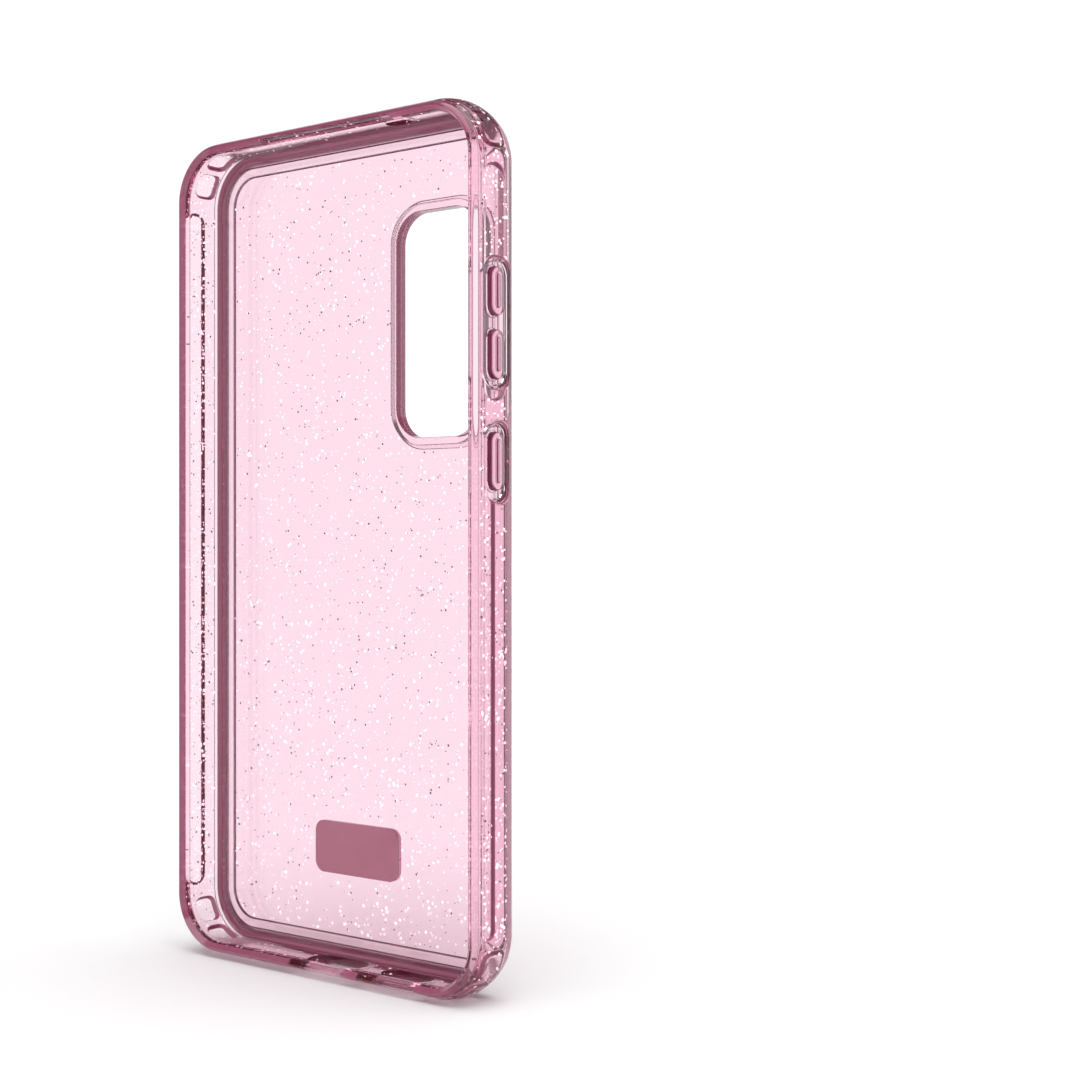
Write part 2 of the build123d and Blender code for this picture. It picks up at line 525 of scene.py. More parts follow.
@dataclass(frozen=True)
class Slot:
    """A rounded region of a wall, along the wall and across its depth, with a soft border inside it."""

    along: Span
    depths: Span
    radius: Optional[float] = None
    ramp: float = 0.3
    front_ramp: Optional[float] = None

    def distance(self, along: float, depth: float) -> float:
        """Distance to the region's edge.

        Args:
            along: Place along the wall.
            depth: Place across it.

        Returns:
            Millimetres, negative inside.
        """
        half_width = (self.depths[1] - self.depths[0]) / 2
        radius = half_width if self.radius is None else self.radius
        off_centre = Vector((abs(along - sum(self.along) / 2), abs(depth - sum(self.depths) / 2)))
        off_core = off_centre - Vector(((self.along[1] - self.along[0]) / 2 - radius, half_width - radius))
        outside = Vector((max(off_core.x, 0.0), max(off_core.y, 0.0))).length
        return outside + min(max(off_core.x, off_core.y), 0.0) - radius

    def inside(self, along: float, depth: float) -> float:
        """How deep inside the region a place is.

        Args:
            along: Place along the wall.
            depth: Place across it.

        Returns:
            0 on the border and outside, 1 past the ramp.
        """
        ramp, middle = self.ramp, sum(self.depths) / 2
        if self.front_ramp is not None and depth < middle:
            half_width = (self.depths[1] - self.depths[0]) / 2
            past_core = abs(along - sum(self.along) / 2) - (self.along[1] - self.along[0]) / 2 + half_width
            reach = max(1e-6, math.hypot(max(0.0, past_core), middle - depth))
            at_side = smooth((middle - depth) / reach * 2 - 1)
            ramp += (self.front_ramp - ramp) * at_side
        return smooth(-self.distance(along, depth) / ramp)

    def ends(self, margin: float) -> list[Span]:
        """Stretches of the wall in which the region's rounded ends lie.

        Args:
            margin: How far each stretch runs past the rounding.

        Returns:
            The lower and the upper stretch.
        """
        radius = (self.depths[1] - self.depths[0]) / 2
        low, high = self.along
        return [(low - margin, low + radius + margin), (high - radius - margin, high + margin)]


def stations(start: float, end: float, coarse: float, fine: float, fine_zones: list[Span]) -> list[float]:
    """Places along a straight run, closer together where the shape changes.

    Args:
        start: First place.
        end: Last place.
        coarse: Spacing on a plain stretch.
        fine: Spacing in a fine zone.
        fine_zones: Stretches that need the fine spacing.

    Returns:
        Places in order, without the start and with the end.
    """
    breaks = sorted({start, end, *(min(end, max(start, edge)) for zone in fine_zones for edge in zone)})
    places = []
    for first, last in zip(breaks, breaks[1:]):
        middle = (first + last) / 2
        spacing = fine if any(zone[0] <= middle <= zone[1] for zone in fine_zones) else coarse
        count = max(1, math.ceil((last - first) / spacing))
        places += [first + (last - first) * step / count for step in range(1, count + 1)]
    return places


# ---------------------------------------------------------------- mesh helpers


@dataclass
class RingPath:
    """Rounded rectangle, seen from the front, round which a wall section is carried."""

    centre: Point
    width: float
    height: float
    radius: float
    front: float
    corner_steps: int = 60
    coarse: float = 3.0
    fine: float = 0.14
    right_zones: list[Span] = field(default_factory=list)
    left_zones: list[Span] = field(default_factory=list)

    def sweep(self, section: list[Point]) -> BMesh:
        """Carries a closed section of insets and depths round the path.

        Args:
            section: The section's points in order.

        Returns:
            A closed ring, in millimetres.
        """
        across, up = self.width / 2 - self.radius, self.height / 2 - self.radius
        high, low = self.centre[1] + up, self.centre[1] - up
        sides = (
            (across, up, [(start - high, end - high) for start, end in self.right_zones]),
            (-across, up, []),
            (-across, -up, [(low - end, low - start) for start, end in self.left_zones]),
            (across, -up, []),
        )
        parts = []
        for quarter, (x, z, zones) in enumerate(sides):
            run = 2 * (up if quarter % 2 == 0 else across)
            placed = Matrix.Translation((self.centre[0] + x, 0, self.centre[1] + z))
            placed = placed @ Matrix.Rotation(-quarter * math.pi / 2, 4, "Y")
            for part in (self._straight(section, run, zones), self._corner(section)):
                bmesh.ops.transform(part, matrix=placed, verts=part.verts)
                parts.append(part)
        ring = joined(parts)
        bmesh.ops.remove_doubles(ring, verts=ring.verts, dist=0.002)
        bmesh.ops.recalc_face_normals(ring, faces=ring.faces)
        return ring

    def _start(self, section: list[Point], along: float) -> tuple[BMesh, list[BMEdge]]:
        """Draws the section where a run starts.

        Args:
            section: The section's points in order.
            along: Place along the run.

        Returns:
            A mesh with the section in it, and the section's edges.
        """
        bm = bmesh.new()
        verts = [bm.verts.new((self.radius - inset, self.front + depth, along)) for inset, depth in section]
        return bm, [bm.edges.new(pair) for pair in zip(verts, verts[1:] + verts[:1])]

    def _straight(self, section: list[Point], run: float, zones: list[Span]) -> BMesh:
        """Extrudes the section along a straight run that ends at the origin.

        Args:
            section: The section's points in order.
            run: Length of the run.
            zones: Stretches that need fine spacing, from -run to 0.

        Returns:
            The run's wall.
        """
        bm, edges = self._start(section, -run)
        place = -run
        for next_place in stations(-run, 0.0, self.coarse, self.fine, zones):
            grown = bmesh.ops.extrude_edge_only(bm, edges=edges)["geom"]
            moved = [item for item in grown if isinstance(item, BMVert)]
            bmesh.ops.translate(bm, verts=moved, vec=(0, 0, next_place - place))
            edges = [item for item in grown if isinstance(item, BMEdge)]
            place = next_place
        return bm

    def _corner(self, section: list[Point]) -> BMesh:
        """Spins the section a quarter turn round the origin.

        Args:
            section: The section's points in order.

        Returns:
            The corner's wall.
        """
        bm, edges = self._start(section, 0.0)
        bmesh.ops.spin(
            bm,
            geom=list(bm.verts) + edges,
            cent=(0, 0, 0),
            axis=(0, -1, 0),
            angle=math.pi / 2,
            steps=self.corner_steps,
            use_merge=False,
        )
        return bm


@dataclass
class RoundedPlate:
    """A prism with a rounded outline, drawn on its side and built up in stages."""

    length: float
    width: float
    radius: float
    corner_steps: int = 12

    def build(self, stages: list[tuple[float, float]], placed: Matrix) -> BMesh:
        """Extrudes the outline through a list of heights.

        Args:
            stages: Height and growth of the outline at each stage, the first being the start.
            placed: Where the finished prism stands.

        Returns:
            A closed prism, in millimetres.
        """
        bm = bmesh.new()
        bmesh.ops.create_grid(bm, x_segments=1, y_segments=1, size=0.5)
        bmesh.ops.scale(bm, verts=bm.verts, vec=(self.length, self.width, 1))
        bmesh.ops.bevel(
            bm,
            geom=list(bm.verts),
            affect="VERTICES",
            offset=self.radius,
            segments=self.corner_steps,
            profile=0.5,
            material=-1,
        )
        bmesh.ops.remove_doubles(bm, verts=bm.verts, dist=0.002)
        cap = max(bm.faces, key=lambda face: face.calc_area())
        self._grow(list(cap.verts), stages[0][1])
        bmesh.ops.translate(bm, verts=list(cap.verts), vec=(0, 0, stages[0][0]))
        for index, ((height, growth), (next_height, next_growth)) in enumerate(zip(stages, stages[1:])):
            grown = bmesh.ops.extrude_face_region(bm, geom=[cap])["geom"]
            if index > 0:
                bmesh.ops.delete(bm, geom=[cap], context="FACES_ONLY")
            cap = next(item for item in grown if isinstance(item, BMFace))
            bmesh.ops.translate(bm, verts=list(cap.verts), vec=(0, 0, next_height - height))
            self._grow(list(cap.verts), next_growth - growth)
        bmesh.ops.recalc_face_normals(bm, faces=bm.faces)
        bmesh.ops.transform(bm, matrix=placed, verts=bm.verts)
        return bm

    def _grow(self, verts: list[BMVert], amount: float) -> None:
        """Moves an outline outwards, square to itself.

        Args:
            verts: The outline's points.
            amount: Millimetres, negative to shrink it.
        """
        reach = Vector((self.length / 2 - self.radius, self.width / 2 - self.radius))
        for vert in verts:
            core = Vector((min(reach.x, max(-reach.x, vert.co.x)), min(reach.y, max(-reach.y, vert.co.y))))
            outwards = Vector((vert.co.x, vert.co.y)) - core
            if outwards.length > 0:
                outwards.normalize()
                vert.co.x += outwards.x * amount
                vert.co.y += outwards.y * amount


def joined(parts: list[BMesh]) -> BMesh:
    """Puts several meshes into one.

    Args:
        parts: The meshes, which are freed.

    Returns:
        One mesh that holds them all.
    """
    whole = bmesh.new()
    for part in parts:
        mesh = bpy.data.meshes.new("part")
        part.to_mesh(mesh)
        part.free()
        whole.from_mesh(mesh)
        bpy.data.meshes.remove(mesh)
    return whole


def mark_shade_angles(bm: BMesh, shade_angle: Callable[[Vector, Vector], float]) -> None:
    """Notes how far each face corner turns away from the wall that it belongs to; the clear plastic paints
    shade by this angle.

    Args:
        bm: The mesh.
        shade_angle: Gives that angle in degrees for a place and a normal; shade is painted by it.
    """
    layer = bm.loops.layers.float.new(SHADE_ANGLE_LAYER)
    bm.normal_update()
    soft = math.cos(math.radians(35))
    for face in bm.faces:
        for loop in face.loops:
            normal = loop.vert.normal if face.normal.dot(loop.vert.normal) > soft else face.normal
            loop[layer] = shade_angle(loop.vert.co, normal)


def angle_off(normal: Vector, way: Vector) -> float:
    """Angle between a normal and the line of a direction.

    Args:
        normal: A unit vector.
        way: A unit vector.

    Returns:
        Degrees, from 0 to 90.
    """
    return math.degrees(math.acos(min(1.0, abs(normal.dot(way)))))


def as_object(name: str, bm: BMesh, crease: float = 35.0) -> bpy.types.Object:
    """Turns a mesh in millimetres into an object in metres, smooth up to a crease angle.

    Args:
        name: The object's name.
        bm: The mesh, which is freed.
        crease: Angle in degrees past which an edge is sharp.

    Returns:
        The object, at the origin.
    """
    bmesh.ops.scale(bm, verts=bm.verts, vec=(MM, MM, MM))
    for face in bm.faces:
        face.smooth = True
    for edge in bm.edges:
        edge.smooth = edge.calc_face_angle(0.0) < math.radians(crease)
    mesh = bpy.data.meshes.new(name)
    bm.to_mesh(mesh)
    bm.free()
    piece = bpy.data.objects.new(name, mesh)
    bpy.context.scene.collection.objects.link(piece)
    return piece


def cut(target: BMesh, cutters: list[BMesh]) -> BMesh:
    """Cuts closed shapes out of a closed mesh.

    Args:
        target: The mesh to cut, which is freed.
        cutters: The shapes to take away, which are freed.

    Returns:
        What is left, in millimetres.
    """
    body = as_object("body", target)
    knife = as_object("knife", joined(cutters))
    modifier = body.modifiers.new("cut", "BOOLEAN")
    modifier.operation = "DIFFERENCE"
    modifier.solver = "EXACT"
    modifier.use_self = False
    modifier.object = knife
    bpy.context.view_layer.update()
    result = bpy.data.meshes.new_from_object(body.evaluated_get(bpy.context.evaluated_depsgraph_get()))
    bm = bmesh.new()
    bm.from_mesh(result)
    for piece in (body, knife):
        mesh = piece.data
        bpy.data.objects.remove(piece)
        bpy.data.meshes.remove(mesh)
    bpy.data.meshes.remove(result)
    bmesh.ops.scale(bm, verts=bm.verts, vec=(1 / MM, 1 / MM, 1 / MM))
    bmesh.ops.remove_doubles(bm, verts=bm.verts, dist=0.0005)
    return bm


def dress(
    piece: bpy.types.Object, material: bpy.types.Material, body: str, nodes: tuple[str, ...] = ()
) -> bpy.types.Object:
    """Gives a finished piece its material and its body, and hides the CAD nodes that it stands for.

    Args:
        piece: The piece.
        material: Its finish.
        body: The CAD body that it moves with.
        nodes: The CAD nodes that it stands for.

    Returns:
        The same piece.
    """
    piece.data.materials.clear()
    piece.data.materials.append(material)
    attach(piece, body)
    if nodes:
        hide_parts(*nodes)
    faces = len(piece.data.polygons)
    log.info("%s: %d faces, rides on %s", piece.name, faces, body)
    return piece


def node_centre(node: str) -> Point:
    """Middle of a CAD node, seen from the front.

    Args:
        node: The node's name.

    Returns:
        Its place across and up, in millimetres.
    """
    low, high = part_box(node)
    return ((low.x + high.x) / 2 / MM, (low.z + high.z) / 2 / MM)


# ---------------------------------------------------------------- the case's sizes


@dataclass(frozen=True)
class CasePlan:
    """Outer sizes of the case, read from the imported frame."""

    width: float
    height: float
    front: float
    thickness: float
    corner: float = 12.0
    wall: float = 2.3

    @classmethod
    def from_frame(cls) -> "CasePlan":
        """Reads the sizes.

        Returns:
            The plan of the bumper's outline.
        """
        low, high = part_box("bumper_frame")
        size = (high - low) / MM
        return cls(width=size.x - 0.001, height=size.z, front=low.y / MM, thickness=size.y)

    def side_matrix(self, along: float, depth: float, inset: float) -> Matrix:
        """Frame of a shape that stands on the key side: its length along Z, its height along +X.

        Args:
            along: Height of its middle above the bottom edge.
            depth: Its middle's depth.
            inset: Where its height starts.

        Returns:
            The matrix that places it.
        """
        place = Matrix.Translation((self.width / 2 - inset, self.front + depth, along))
        return place @ Matrix(((0, 0, 1, 0), (0, -1, 0, 0), (1, 0, 0, 0), (0, 0, 0, 1)))

    def end_matrix(self, across: float, depth: float, height: float) -> Matrix:
        """Frame of a shape that stands on the top or bottom edge: its length along X, its height along +Z.

        Args:
            across: Its middle's place across the case.
            depth: Its middle's depth.
            height: Where its height starts.

        Returns:
            The matrix that places it.
        """
        return Matrix.Translation((across, self.front + depth, height))

    def back_matrix(self, across: float, along: float, depth: float) -> Matrix:
        """Frame of a shape that lies on the back: its length along X, its height backwards along +Y.

        Args:
            across: Its middle's place across the case.
            along: Its middle's height above the bottom edge.
            depth: Where its height starts.

        Returns:
            The matrix that places it.
        """
        place = Matrix.Translation((across, self.front + depth, along))
        return place @ Matrix(((1, 0, 0, 0), (0, 0, 1, 0), (0, -1, 0, 0), (0, 0, 0, 1)))


# ---------------------------------------------------------------- bumper


@dataclass
class Bumper:
    """The flexible ring of wall, lip and back flange, with its channels, pockets and openings."""

    plan: CasePlan
    crown_front: Point = (1.2, 1.2)
    crown_depth: float = 6.0
    crown_back: Point = (1.3, 11.05)
    lip_flat: float = 2.15
    lip_inset: float = 3.0
    lip_edge: float = 1.25
    lip_depth: float = 2.0
    slope_start: float = 10.3
    slope_end: Point = (1.85, 11.75)
    cavity_back: float = 10.6
    seat_step: float = 1.0
    seat_insets: Span = (4.4, 6.0)
    groove_depths: tuple[float, ...] = (2.45, 10.15)
    groove_width: float = 0.25
    groove_deep: float = 0.07
    channel_inset: float = 0.8
    left_channel: Slot = Slot((12.4, 150.0), (2.2, 8.2), ramp=0.8, front_ramp=1.0)
    upper_channel: Slot = Slot((107.7, 150.0), (2.0, 8.0), ramp=0.45, front_ramp=1.2)
    lower_channel: Slot = Slot((12.4, 91.5), (1.6, 4.9), ramp=0.35)
    key_depth: float = 6.2
    windows: tuple[Slot, ...] = (Slot((110.1, 133.3), (2.85, 9.55)), Slot((89.8, 103.9), (3.4, 9.0)))
    # the limits cap the angle by which shade is painted
    flange_limit: float = 28.0  # degrees, as are the other limits
    lip_limit: float = 35.0
    # the cap rises along the top and drops on the key side, so more shade is painted on top
    lip_limit_more: tuple[float, float] = (12.0, -14.0)  # along the top, and on the key side
    heel_limit: float = 35.0
    flare_limit: float = 33.0
    window_limit: float = 25.0
    flange_inset: float = 3.25
    lip_zone: Span = (1.1, 2.1)  # depths
    heel_depth: float = 10.4
    # a mauve band of painted shade runs along the back of the wall from this depth, starting further back in
    # the gap and on the far side
    shade_band_depth: float = 8.5
    shade_band_gap: Span = (106.0, 152.0)
    shade_band_fade: float = 2.0
    flare_width: float = 0.5
    flare_deep: float = 0.4
    pocket_depths: Span = (3.8, 9.0)
    pocket_deep: float = 0.8
    pocket_reach: float = 34.0  # degrees either side of the diagonal
    pocket_rib: float = 3.0  # degrees either side of the diagonal

    def crown_inset(self, depth: float) -> float:
        """Inset of the plain outer surface.

        Args:
            depth: Depth behind the front lip, between the crown's ends.

        Returns:
            Millimetres inwards from the outermost surface.
        """
        end = self.crown_front if depth < self.crown_depth else self.crown_back
        run = abs(end[1] - self.crown_depth)
        radius = (run**2 + end[0] ** 2) / (2 * end[0])
        off = min(run, abs(depth - self.crown_depth))
        return radius - math.sqrt(radius**2 - off**2)

    def section(self) -> list[Point]:
        """The wall's section, as insets and depths.

        Returns:
            The points of a closed outline.
        """
        back = self.plan.thickness
        lip_round = arc_through((self.lip_flat, 0.0), (1.5, 0.5), self.crown_front, 8)
        crown_steps = 52
        first, last = self.crown_front[1], self.slope_start
        crown_depths = [first + (last - first) * step / crown_steps for step in range(1, crown_steps)]
        crown = [(self.crown_inset(depth), depth) for depth in crown_depths]
        slope_top = (self.crown_inset(last) + 0.05, last)
        slope = [slope_top, *divided(slope_top, self.slope_end, 0.4)]
        heel = arc_through(self.slope_end, (2.3, 12.3), (3.2, back), 7)
        corners = [
            ((3.2, back), 0.0),
            ((self.seat_insets[1], back), 0.15),
            ((self.seat_insets[1], back - self.seat_step), 0.08),
            ((self.seat_insets[0], back - self.seat_step), 0.08),
            ((self.seat_insets[0], self.cavity_back), 0.15),
            ((self.plan.wall, self.cavity_back), 0.8),
            ((self.plan.wall, self.lip_depth + self.lip_inset - self.plan.wall), 0.2),
            ((self.lip_inset, self.lip_depth), 0.25),
            ((self.lip_inset, self.lip_edge), 0.35),
            ((self.lip_flat, 0.0), 0.0),
        ]
        inner: list[Point] = []
        for (before, _), (corner, radius), (after, _) in zip(corners, corners[1:], corners[2:]):
            curve = rounded_corner(before, corner, after, radius)
            if inner:
                inner += divided(inner[-1], curve[0], 0.45)
            inner += curve
        return lip_round + crown + slope + heel + inner

    def outer_inset(self, right_side: bool, along: float, depth: float) -> float:
        """Inset of the finished outer surface on a straight side.

        Args:
            right_side: True on the key side.
            along: Height above the bottom edge.
            depth: Depth behind the front lip.

        Returns:
            Millimetres inwards from the outermost surface.
        """
        inset = self.crown_inset(depth)
        channels = (self.upper_channel, self.lower_channel) if right_side else (self.left_channel,)
        for channel in channels:
            inside = channel.inside(along, depth)
            slope = smooth((channel.depths[1] - depth) / 2.2)
            if right_side:
                slope = 1.0 if channel is self.lower_channel else 0.3 + 0.7 * slope
            if channel is self.lower_channel:
                inside *= smooth((depth - 1.7) / 3.0)
            crown = self.crown_inset(depth)
            floor = max(inset, crown + (self.channel_inset - crown) * slope)
            inset += (floor - inset) * inside
        if right_side:
            for window in self.windows:
                near = smooth(1 - window.distance(along, depth) / self.flare_width)
                inset += self.flare_deep * near
        return inset

    def _press(self, bm: BMesh) -> None:
        """Presses grooves, channels, window flares and corner pockets into the plain ring.

        Args:
            bm: The ring, in millimetres.
        """
        plan = self.plan
        core_x, core_z = plan.width / 2 - plan.corner, plan.height / 2 - plan.corner
        for vert in bm.verts:
            depth = vert.co.y - plan.front
            if not 1.3 < depth < 10.9:
                continue
            off = Vector((vert.co.x, vert.co.z - plan.height / 2))
            core = Vector((min(core_x, max(-core_x, off.x)), min(core_z, max(-core_z, off.y))))
            outwards = off - core
            at_corner = abs(off.x) > core_x and abs(off.y) > core_z
            on_end = abs(off.y) > core_z and not at_corner
            inset = plan.corner - outwards.length
            outwards.normalize()
            if inset < OUTER_SKIN:
                target = self.crown_inset(depth)
                if not on_end and not at_corner:
                    target = self.outer_inset(off.x > 0, vert.co.z, depth)
                target += self._groove(depth)
            elif at_corner and inset < 2.6:
                diagonal = abs(math.degrees(math.atan2(abs(outwards.y), abs(outwards.x))) - 45)
                target = inset - self.pocket_deep * self._pocket(diagonal, depth)
            else:
                continue
            shift = outwards * (inset - target)
            vert.co.x += shift.x
            vert.co.z += shift.y

    def _groove(self, depth: float) -> float:
        """Depth of the two fine lines that run round the case.

        Args:
            depth: Depth behind the front lip.

        Returns:
            Extra inset in millimetres.
        """
        nearest = min(abs(depth - groove) for groove in self.groove_depths)
        return self.groove_deep * smooth(1 - nearest / self.groove_width)

    def _pocket(self, diagonal: float, depth: float) -> float:
        """How much of a corner air pocket is at a place on the cavity's wall.

        Args:
            diagonal: Degrees from the corner's diagonal.
            depth: Depth behind the front lip.

        Returns:
            0 outside the pocket, 1 on its floor.
        """
        to_mm = math.radians(1) * (self.plan.corner - self.plan.wall)
        lobe = Slot((self.pocket_rib * to_mm, self.pocket_reach * to_mm), self.pocket_depths, 1.6)
        return smooth(-lobe.distance(diagonal * to_mm, depth) / 0.5)

    def _cutters(self) -> list[BMesh]:
        """Shapes of the key windows, the ports and the earpiece relief.

        Returns:
            Closed meshes to cut out of the ring.
        """
        plan = self.plan
        cutters = []
        for window in self.windows:
            length, width = window.along[1] - window.along[0], window.depths[1] - window.depths[0]
            plate = RoundedPlate(length, width, width / 2)
            placed = plan.side_matrix(sum(window.along) / 2, self.key_depth, self.lip_inset)
            cutters.append(plate.build([(0.0, 0.0), (self.lip_inset + 1.0, 0.0)], placed))
        for port in PORTS:
            cutters.append(port.cutter(plan))
        cutters.append(self._earpiece_relief())
        return cutters

    def _earpiece_relief(self) -> BMesh:
        """Shape that thins the top lip over the earpiece, with sloping ends.

        Returns:
            A closed mesh in millimetres.
        """
        low, high, slope = -15.0, 19.0, 1.4
        plate = RoundedPlate(high - low + 2 * slope, 6.0, 0.5, 3)
        placed = self.plan.back_matrix((low + high) / 2, self.plan.height - 2.35 - 3.0, -1.0)
        stages = [(0.0, 0.0), (1.0 + self.lip_depth - 0.1, 0.0), (1.35 + self.lip_depth, -0.35)]
        bm = plate.build(stages, placed)
        top = self.plan.height - 2.35
        for vert in bm.verts:
            if vert.co.z > top - 1.0:
                vert.co.x -= math.copysign(slope, vert.co.x - (low + high) / 2)
        return bm

    def shade_angle(self, place: Vector, normal: Vector) -> float:
        """How far the surface turns away from the wall's face, or from the flat of the back flange; shade is
        painted by this angle.

        Args:
            place: A place on the surface, in millimetres.
            normal: The surface's normal there.

        Returns:
            Degrees, held down to keep painted shade off the lip, the heel, the flange and the
            openings, and raised to paint a mauve band of shade along the back of the wall.
        """
        plan = self.plan
        core_x, core_z = plan.width / 2 - plan.corner, plan.height / 2 - plan.corner
        off = Vector((place.x, 0.0, place.z - plan.height / 2))
        core = Vector((min(core_x, max(-core_x, off.x)), 0.0, min(core_z, max(-core_z, off.z))))
        outwards = (off - core).normalized() if (off - core).length > 0 else SIDEWAYS
        inset, depth = plan.corner - (off - core).length, place.y - plan.front
        angle = angle_off(normal, outwards)
        if inset > self.flange_inset:
            return min(self.flange_limit, angle, angle_off(normal, BACKWARDS))
        if depth > self.heel_depth:
            return min(self.heel_limit, angle)
        # no painted shade on the outer face just behind the lip
        if self.lip_zone[0] < depth < self.lip_zone[1] and inset < OUTER_SKIN:
            return 0.0
        if depth < self.lip_zone[1] or inset > plan.wall + 0.1:
            on_key_side = smooth((place.x - core_x) / plan.corner)
            on_top = smooth((off.z - core_z) / plan.corner)
            # no painted shade in line with the bottom ports
            if off.z < -core_z and any(port.over(place.x) for port in PORTS if port.edge is Edge.BOTTOM):
                return 0.0
            more_on_top, more_on_key_side = self.lip_limit_more
            limit = self.lip_limit + more_on_top * on_top + more_on_key_side * on_key_side * (1 - on_top)
            return min(limit, angle)
        if any(port.around(place.x, off.z, depth, plan) for port in PORTS):
            return 0.0
        if off.x > core_x:
            nearest = min(window.distance(place.z, depth) for window in self.windows)
            if nearest < self.flare_width + 0.2:
                return min(self.window_limit if nearest < 0.1 else self.flare_limit, angle)
        # painted shade: a mauve band along the back of the wall, starting further back in the gap and on the
        # far side
        in_gap = smooth((min(place.z - self.shade_band_gap[0], self.shade_band_gap[1] - place.z) + 2.0) / 5.0)
        far_side = smooth((-place.x - 5.0) / 20.0)
        shade_band_start = self.shade_band_depth + self.shade_band_fade * max(in_gap, far_side)
        return max(angle, self.heel_limit) if inset < 2.0 and depth > shade_band_start else angle

    def build(self, material: bpy.types.Material) -> bpy.types.Object:
        """Makes the bumper.

        Args:
            material: Its finish.

        Returns:
            The dressed piece.
        """
        plan = self.plan
        slots = (*self.windows, self.upper_channel, self.lower_channel)
        right_zones = [zone for slot in slots for zone in slot.ends(0.6)]
        path = RingPath(
            centre=(0.0, plan.height / 2),
            width=plan.width,
            height=plan.height,
            radius=plan.corner,
            front=plan.front,
            right_zones=right_zones,
            left_zones=self.left_channel.ends(0.6),
        )
        ring = path.sweep(self.section())
        self._press(ring)
        ring = cut(ring, self._cutters())
        mark_shade_angles(ring, self.shade_angle)
        piece = as_object("bumper", ring)
        return dress(piece, material, "case", ("bumper_frame",))


class Edge(Enum):
    """The end wall that a port goes through."""

    TOP = "top"
    BOTTOM = "bottom"


@dataclass(frozen=True)
class Port:
    """A slot through the top or bottom wall, flared on its outer side."""

    edge: Edge
    across: float
    length: float
    height: float
    depth: float = 6.45
    flare: float = 0.45

    def over(self, across: float) -> bool:
        """Whether a place across the case lies in line with the opening."""
        return abs(across - self.across) < self.length / 2

    def around(self, across: float, up: float, depth: float, plan: CasePlan) -> bool:
        """Whether a place is on the opening's own wall.

        Args:
            across: Its place across the case.
            up: Its height above the case's middle.
            depth: Its depth behind the front lip.
            plan: The case's sizes.

        Returns:
            True within a hair of the opening.
        """
        if abs(up) < plan.height / 2 - plan.corner or (up > 0) != (self.edge is Edge.TOP):
            return False
        half, high = self.length / 2, self.height / 2
        outline = Slot((self.across - half, self.across + half), (self.depth - high, self.depth + high))
        return outline.distance(across, depth) < self.flare + 0.1

    def cutter(self, plan: CasePlan) -> BMesh:
        """Builds the shape of the opening.

        Args:
            plan: The case's sizes.

        Returns:
            A closed mesh in millimetres.
        """
        plate = RoundedPlate(self.length, self.height, self.height / 2)
        mouth = [(-1.0, self.flare), (0.0, self.flare)]
        inwards = [*mouth, (self.flare, 0.08), (2 * self.flare, 0.0), (4.0, 0.0)]
        if self.edge is Edge.BOTTOM:
            return plate.build(inwards, plan.end_matrix(self.across, self.depth, 0.0))
        flipped = [(-height, growth) for height, growth in reversed(inwards)]
        return plate.build(flipped, plan.end_matrix(self.across, self.depth, plan.height))


PORTS = (
    Port(Edge.BOTTOM, 0.0, 14.0, 6.5),
    Port(Edge.BOTTOM, 18.0, 12.0, 4.6),
    Port(Edge.TOP, 16.0, 6.0, 2.6),
)


# ---------------------------------------------------------------- back


@dataclass
class BackPanel:
    """The clear hard plate with its camera opening and badge pocket."""

    plan: CasePlan
    front_depth: float = 10.6
    step: float = 1.0
    edges: Span = (4.45, 6.05)
    soft_edge: float = 0.12
    opening: tuple[float, float, float] = (23.0, 45.3, 7.25)
    badge_pocket: tuple[float, float, float] = (22.1, 10.2, 2.25)
    pocket_deep: float = 0.3

    def build(
        self, material: bpy.types.Material, guard_centre: Point, badge_centre: Point
    ) -> bpy.types.Object:
        """Makes the panel.

        Args:
            material: Its finish.
            guard_centre: Middle of the camera opening, across and up.
            badge_centre: Middle of the badge, across and up.

        Returns:
            The dressed piece.
        """
        plan = self.plan
        wide, narrow = self.edges
        plate = RoundedPlate(plan.width - 2 * wide, plan.height - 2 * wide, plan.corner - wide, 24)
        shrink = wide - narrow
        soft = self.soft_edge
        thick = plan.thickness - self.front_depth
        stages = [
            (0.0, -soft),
            (soft, 0.0),
            (self.step, 0.0),
            (self.step, shrink),
            (thick - soft, shrink),
            (thick, shrink - soft),
        ]
        panel = plate.build(stages, plan.back_matrix(0.0, plan.height / 2, self.front_depth))
        length, width, radius = self.opening
        window = RoundedPlate(length, width, radius, 16)
        through = [(-1.0, 0.0), (thick + 1.0, 0.0)]
        window_cut = window.build(through, plan.back_matrix(*guard_centre, self.front_depth))
        length, width, radius = self.badge_pocket
        pocket = RoundedPlate(length, width, radius, 10)
        pocket_start = plan.thickness - self.pocket_deep
        pocket_cut = pocket.build([(0.0, 0.0), (1.0, 0.0)], plan.back_matrix(*badge_centre, pocket_start))
        panel = cut(panel, [window_cut, pocket_cut])
        # shade is painted by the angle off the back
        mark_shade_angles(panel, lambda _, normal: angle_off(normal, BACKWARDS))
        return dress(as_object("panel", panel), material, "case", ("back_panel",))


